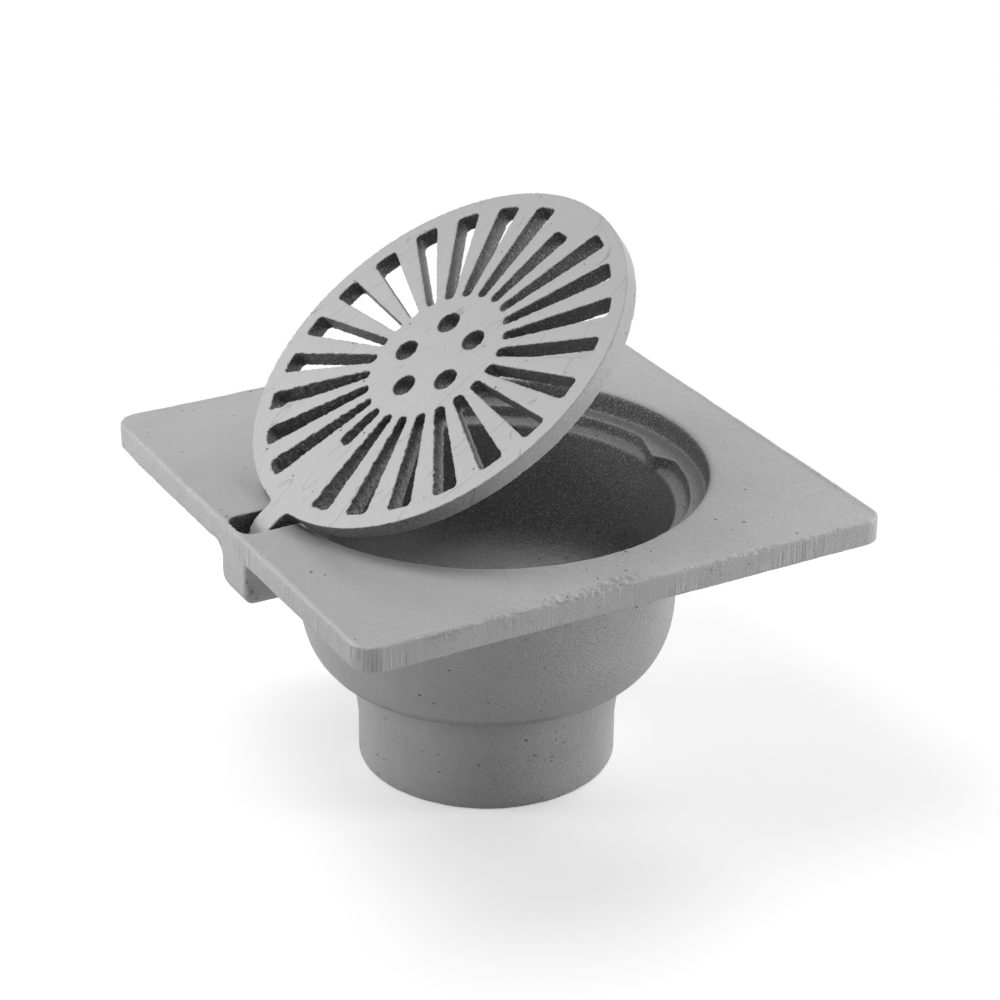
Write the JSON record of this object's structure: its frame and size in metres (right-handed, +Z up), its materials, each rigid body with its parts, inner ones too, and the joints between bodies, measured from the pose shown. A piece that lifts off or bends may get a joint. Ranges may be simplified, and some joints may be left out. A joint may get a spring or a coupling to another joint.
{
  "type": "gully trap",
  "caption": "Cast iron floor gully: square plate, round mouth, bell-shaped bowl and outlet spigot, with a hinged round grating that swings open",
  "frame": {"origin": "middle of the outlet spigot's lower end, on the axis of bowl and mouth", "axes": "+Z up along the axis of mouth, bowl and spigot; the hinge lies on the -X side, its line along Y"},
  "size_m": [0.25, 0.25, 0.252],
  "materials": {
    "body_iron": "light grey, matt, as cast with fine sand grain",
    "grating_iron": "light grey, matt, as cast with small scratches and pits",
    "pin_steel": "plain drawn rod"
  },
  "bodies": {
    "gully": {"gully_body": "body_iron", "hinge_pin": "pin_steel"},
    "cover": {"grating": "grating_iron"}
  },
  "joints": [
    {"name": "grating_hinge", "type": "hinge", "parent": "gully", "child": "cover", "pos_m": [-0.1065, -0.0015, 0.1255], "axis": [0, -1, 0], "range_deg": [-35.3, 55]}
  ]
}
